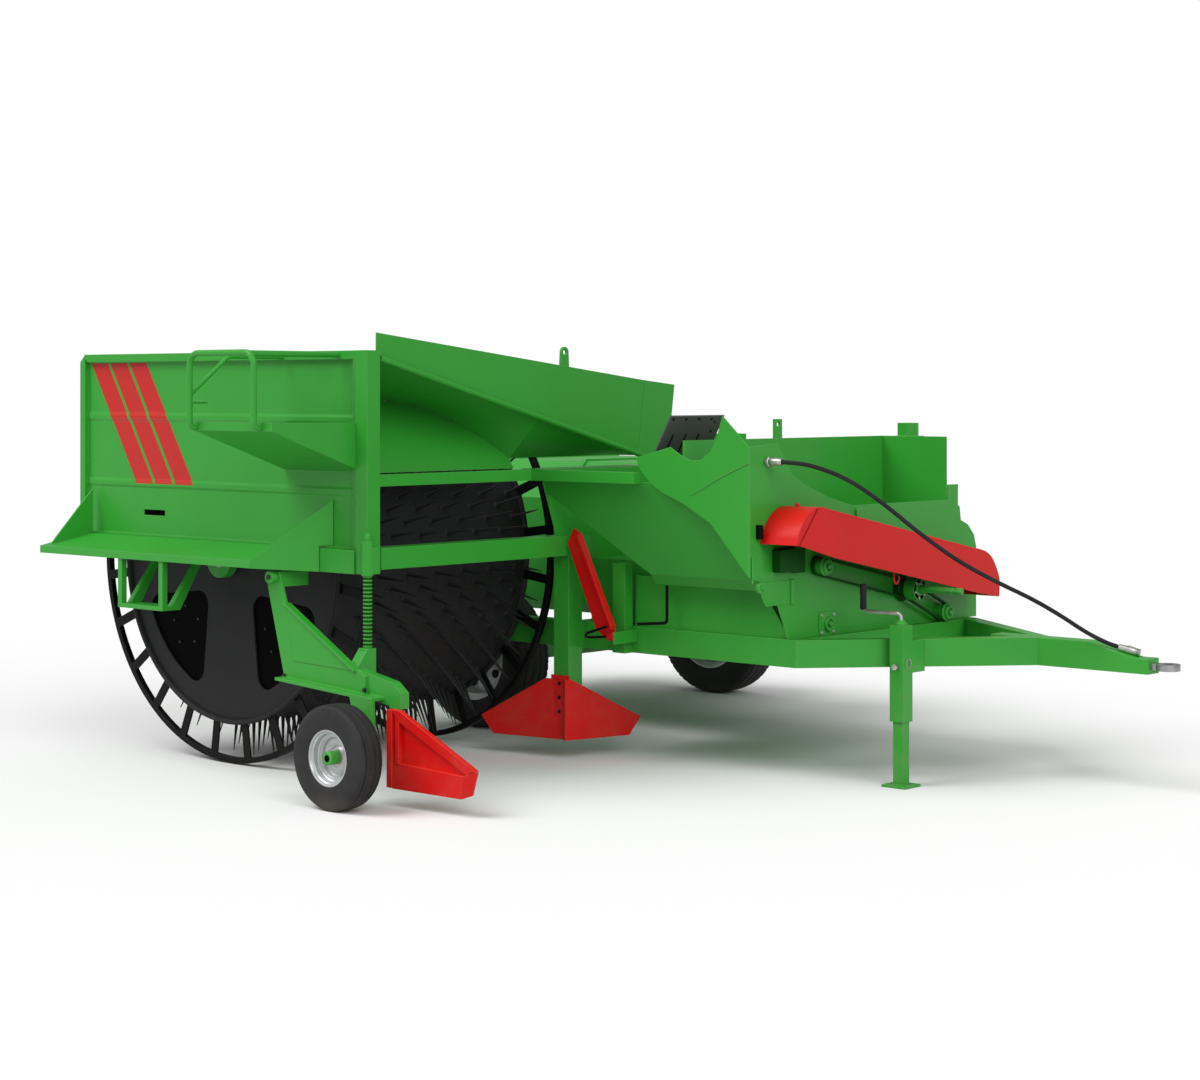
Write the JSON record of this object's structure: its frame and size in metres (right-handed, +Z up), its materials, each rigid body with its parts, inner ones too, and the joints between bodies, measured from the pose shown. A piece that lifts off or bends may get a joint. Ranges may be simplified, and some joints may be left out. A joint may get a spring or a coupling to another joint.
{
  "type": "watermelon harvester",
  "caption": "Towed fruit harvester with a spiked pick-up drum, side panel, front hood, hopper over a crusher, sieve casing, red ploughs, belt guard and a screw jack.",
  "frame": {"origin": "middle of the footprint, on the ground", "axes": "+X forwards to the tow eye, +Y to the machine's left, +Z up"},
  "size_m": [5.21, 4.663, 2.1126],
  "materials": {
    "green_paint": "satin",
    "red_paint": "satin",
    "black_paint": "satin",
    "bare_steel": "brushed",
    "tyre": "matt",
    "silver_rim": "satin",
    "hose_rubber": "matt",
    "grey_plate": "satin"
  },
  "bodies": {
    "chassis": {"side_beams": "green_paint", "cross_beams": "green_paint", "drawbar_beams": "green_paint", "tongue": "green_paint", "tow_eye": "bare_steel", "axle_beam": "green_paint", "drum_bearings": "green_paint", "side_panel": "green_paint", "bearing_beam": "green_paint", "panel_post": "green_paint", "shelf": "green_paint", "step_frame": "green_paint", "feed_tray": "green_paint", "guard_rail": "green_paint", "front_rails": "green_paint", "plough_post": "green_paint", "corner_post": "green_paint", "centre_plough": "red_paint", "outer_plough": "red_paint", "gauge_arm": "green_paint", "gauge_screw": "green_paint", "front_hood": "green_paint", "fruit_pan": "green_paint", "pan_outlet": "green_paint", "comb_guide": "green_paint", "hopper_right_wall": "green_paint", "hopper_apron": "green_paint", "front_wall": "green_paint", "hopper_rear_wall": "green_paint", "hopper_baffle": "green_paint", "hopper_left_wall": "green_paint", "crusher_housing": "green_paint", "side_skirt": "green_paint", "slotted_plate": "grey_plate", "sieve_casing": "green_paint", "belt_guard": "red_paint", "drive_sprockets": "green_paint", "drive_chains": "black_paint", "hose_ends": "bare_steel", "hydraulic_hose": "hose_rubber", "jack_sleeve": "green_paint", "jack_crank": "bare_steel"},
    "right_wheel": {"right_wheel_tyre": "tyre", "right_wheel_rim": "silver_rim"},
    "left_wheel": {"left_wheel_tyre": "tyre", "left_wheel_rim": "silver_rim"},
    "gauge_wheel": {"gauge_wheel_tyre": "tyre", "gauge_wheel_rim": "silver_rim"},
    "drum": {"drum_end_rings": "black_paint", "drum_shell": "black_paint", "drum_shaft": "bare_steel"},
    "pto": {"pto_shaft": "green_paint"},
    "jack_leg": {"jack_leg": "green_paint"},
    "stowed_plough": {"stowed_plough": "red_paint"},
    "sieve_door": {"sieve_door": "green_paint"}
  },
  "joints": [
    {"name": "right_wheel_spin", "type": "hinge", "parent": "chassis", "child": "right_wheel", "pos_m": [-1.38, 0.1735, 0.386], "axis": [0, 1, 0], "continuous": true},
    {"name": "left_wheel_spin", "type": "hinge", "parent": "chassis", "child": "left_wheel", "pos_m": [-1.38, 2.2085, 0.386], "axis": [0, 1, 0], "continuous": true},
    {"name": "gauge_wheel_spin", "type": "hinge", "parent": "chassis", "child": "gauge_wheel", "pos_m": [0.015, -2.1695, 0.234], "axis": [0, 1, 0], "continuous": true},
    {"name": "drum_spin", "type": "hinge", "parent": "chassis", "child": "drum", "pos_m": [-1.367, -1.0015, 1.014], "axis": [0, 1, 0], "continuous": true},
    {"name": "pto_spin", "type": "hinge", "parent": "chassis", "child": "pto", "pos_m": [1.255, 0.5985, 0.867], "axis": [1, 0, 0], "continuous": true},
    {"name": "jack_slide", "type": "slide", "parent": "chassis", "child": "jack_leg", "axis": [0, 0, 1], "range_m": [0, 0.28]},
    {"name": "deflector_fold", "type": "hinge", "parent": "chassis", "child": "stowed_plough", "pos_m": [0.11, -0.4615, 0.635], "axis": [1, 0, 0], "range_deg": [0, 150]},
    {"name": "sieve_door_hinge", "type": "hinge", "parent": "chassis", "child": "sieve_door", "pos_m": [-2.565, 1.1685, 1.21], "axis": [0, 1, 0], "range_deg": [0, 100]}
  ]
}
